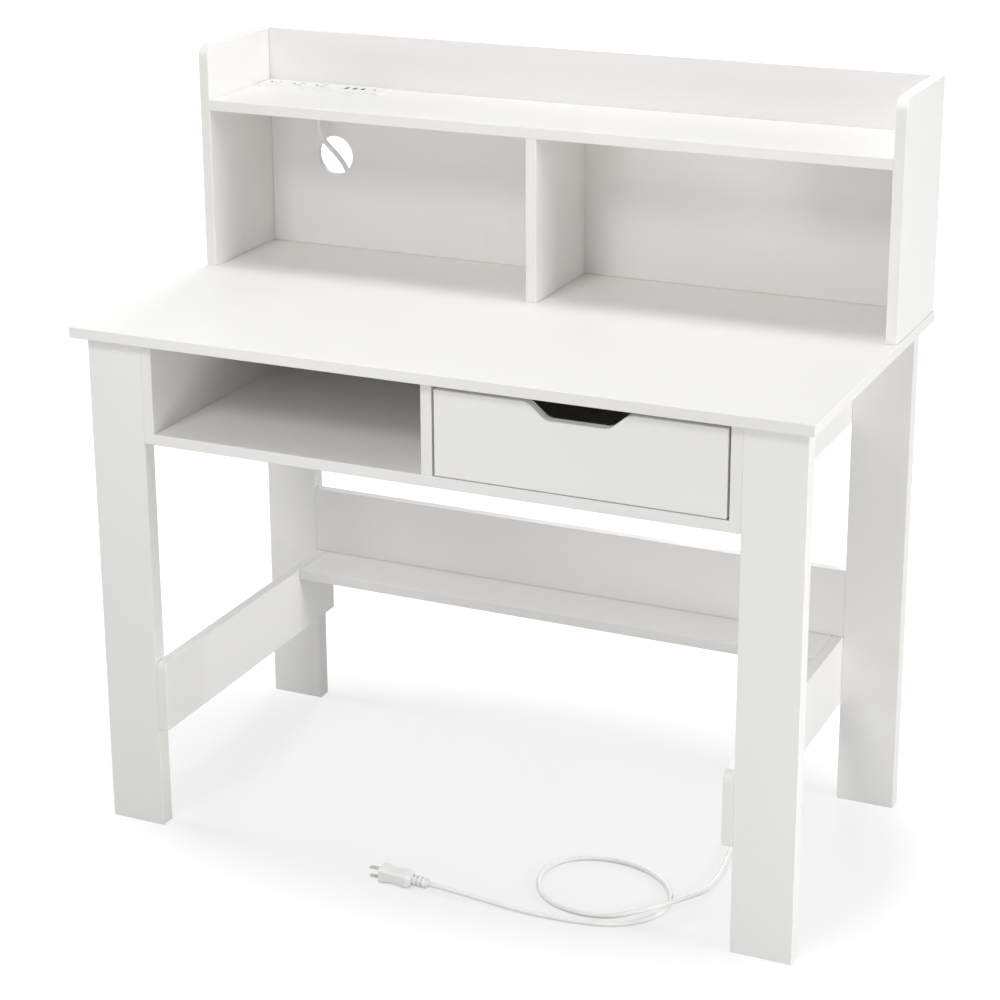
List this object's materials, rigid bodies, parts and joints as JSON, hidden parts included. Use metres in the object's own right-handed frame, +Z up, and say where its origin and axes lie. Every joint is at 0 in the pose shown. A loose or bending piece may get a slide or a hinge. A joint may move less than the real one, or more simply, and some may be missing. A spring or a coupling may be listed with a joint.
{
  "type": "student desk with hutch",
  "caption": "White writing desk on plank legs with a low hutch, an open cubby beside a drawer with a finger notch, a footrest, and a corded power strip set in the hutch shelf.",
  "frame": {"origin": "on the floor, under the centre of the desktop", "axes": "+X to the user's right, +Y to the back of the desk, +Z up"},
  "size_m": [1.08, 0.5836, 1.096],
  "materials": {
    "white_board": "white laminated board with a soft satin sheen",
    "drawer_box": "white foil-wrapped board, matt",
    "drawer_floor": "thin white-faced hardboard, matt",
    "runner_steel": "white powder-coated folded steel",
    "roller_nylon": "natural nylon, matt",
    "fastener_steel": "zinc-plated steel",
    "cam_alloy": "die-cast zinc alloy, dull",
    "dowel_wood": "plain beech",
    "strip_plastic": "white moulded plastic, satin",
    "outlet_plastic": "white moulded plastic, satin",
    "usb_plastic": "black moulded plastic, satin",
    "lamp_lens": "small clear lens over a pilot lamp",
    "cord_vinyl": "white vinyl sheath, soft satin",
    "plug_vinyl": "white moulded vinyl, satin",
    "plug_metal": "nickel-plated brass"
  },
  "bodies": {
    "frame": {"desktop": "white_board", "leg_front_left": "white_board", "leg_front_right": "white_board", "leg_back_left": "white_board", "leg_back_right": "white_board", "side_panel_left": "white_board", "side_panel_right": "white_board", "compartment_divider": "white_board", "compartment_shelf": "white_board", "compartment_back": "white_board", "side_rail_left": "white_board", "side_rail_right": "white_board", "footrest": "white_board", "back_rail": "white_board", "hutch_side_left": "white_board", "hutch_side_right": "white_board", "hutch_shelf": "white_board", "hutch_divider": "white_board", "hutch_back": "white_board", "cabinet_runner_left": "runner_steel", "cabinet_runner_right": "runner_steel", "cabinet_roller_pins": "fastener_steel", "cabinet_runner_screws": "fastener_steel", "cam_bolts": "fastener_steel", "back_screws": "fastener_steel", "hutch_screws": "fastener_steel", "cam_locks": "cam_alloy", "dowels": "dowel_wood", "strip_housing": "strip_plastic", "strip_bezel": "strip_plastic", "cord_gland": "strip_plastic", "outlet_inserts": "outlet_plastic", "usb_ports": "usb_plastic", "strip_lamp": "lamp_lens", "power_cord": "cord_vinyl", "plug_body": "plug_vinyl", "plug_blades": "plug_metal", "plug_ground_pin": "plug_metal"},
    "drawer": {"drawer_front": "white_board", "drawer_side_left": "drawer_box", "drawer_side_right": "drawer_box", "drawer_back": "drawer_box", "drawer_floor": "drawer_floor", "drawer_runner_left": "runner_steel", "drawer_runner_right": "runner_steel", "drawer_roller_pins": "fastener_steel", "drawer_runner_screws": "fastener_steel", "drawer_dowels": "dowel_wood"},
    "front_roller_left": {"front_roller_left": "roller_nylon"},
    "front_roller_right": {"front_roller_right": "roller_nylon"},
    "rear_roller_left": {"rear_roller_left": "roller_nylon"},
    "rear_roller_right": {"rear_roller_right": "roller_nylon"}
  },
  "joints": [
    {"name": "drawer_slide", "type": "slide", "parent": "frame", "child": "drawer", "axis": [0, -1, 0], "range_m": [0, 0.29]},
    {"name": "front_roller_left_turn", "type": "hinge", "parent": "frame", "child": "front_roller_left", "pos_m": [0.013, -0.2265, 0.6233], "axis": [1, 0, 0], "continuous": true},
    {"name": "front_roller_right_turn", "type": "hinge", "parent": "frame", "child": "front_roller_right", "pos_m": [0.419, -0.2265, 0.6233], "axis": [1, 0, 0], "continuous": true},
    {"name": "rear_roller_left_turn", "type": "hinge", "parent": "drawer", "child": "rear_roller_left", "pos_m": [0.0155, 0.138, 0.6233], "axis": [1, 0, 0], "continuous": true},
    {"name": "rear_roller_right_turn", "type": "hinge", "parent": "drawer", "child": "rear_roller_right", "pos_m": [0.4165, 0.138, 0.6233], "axis": [1, 0, 0], "continuous": true}
  ],
  "couplings": [
    {"joint": "front_roller_left_turn", "follows": "drawer_slide", "rad_per_m": 142.86},
    {"joint": "front_roller_right_turn", "follows": "drawer_slide", "rad_per_m": 142.86},
    {"joint": "rear_roller_left_turn", "follows": "drawer_slide", "rad_per_m": 142.86},
    {"joint": "rear_roller_right_turn", "follows": "drawer_slide", "rad_per_m": 142.86}
  ]
}
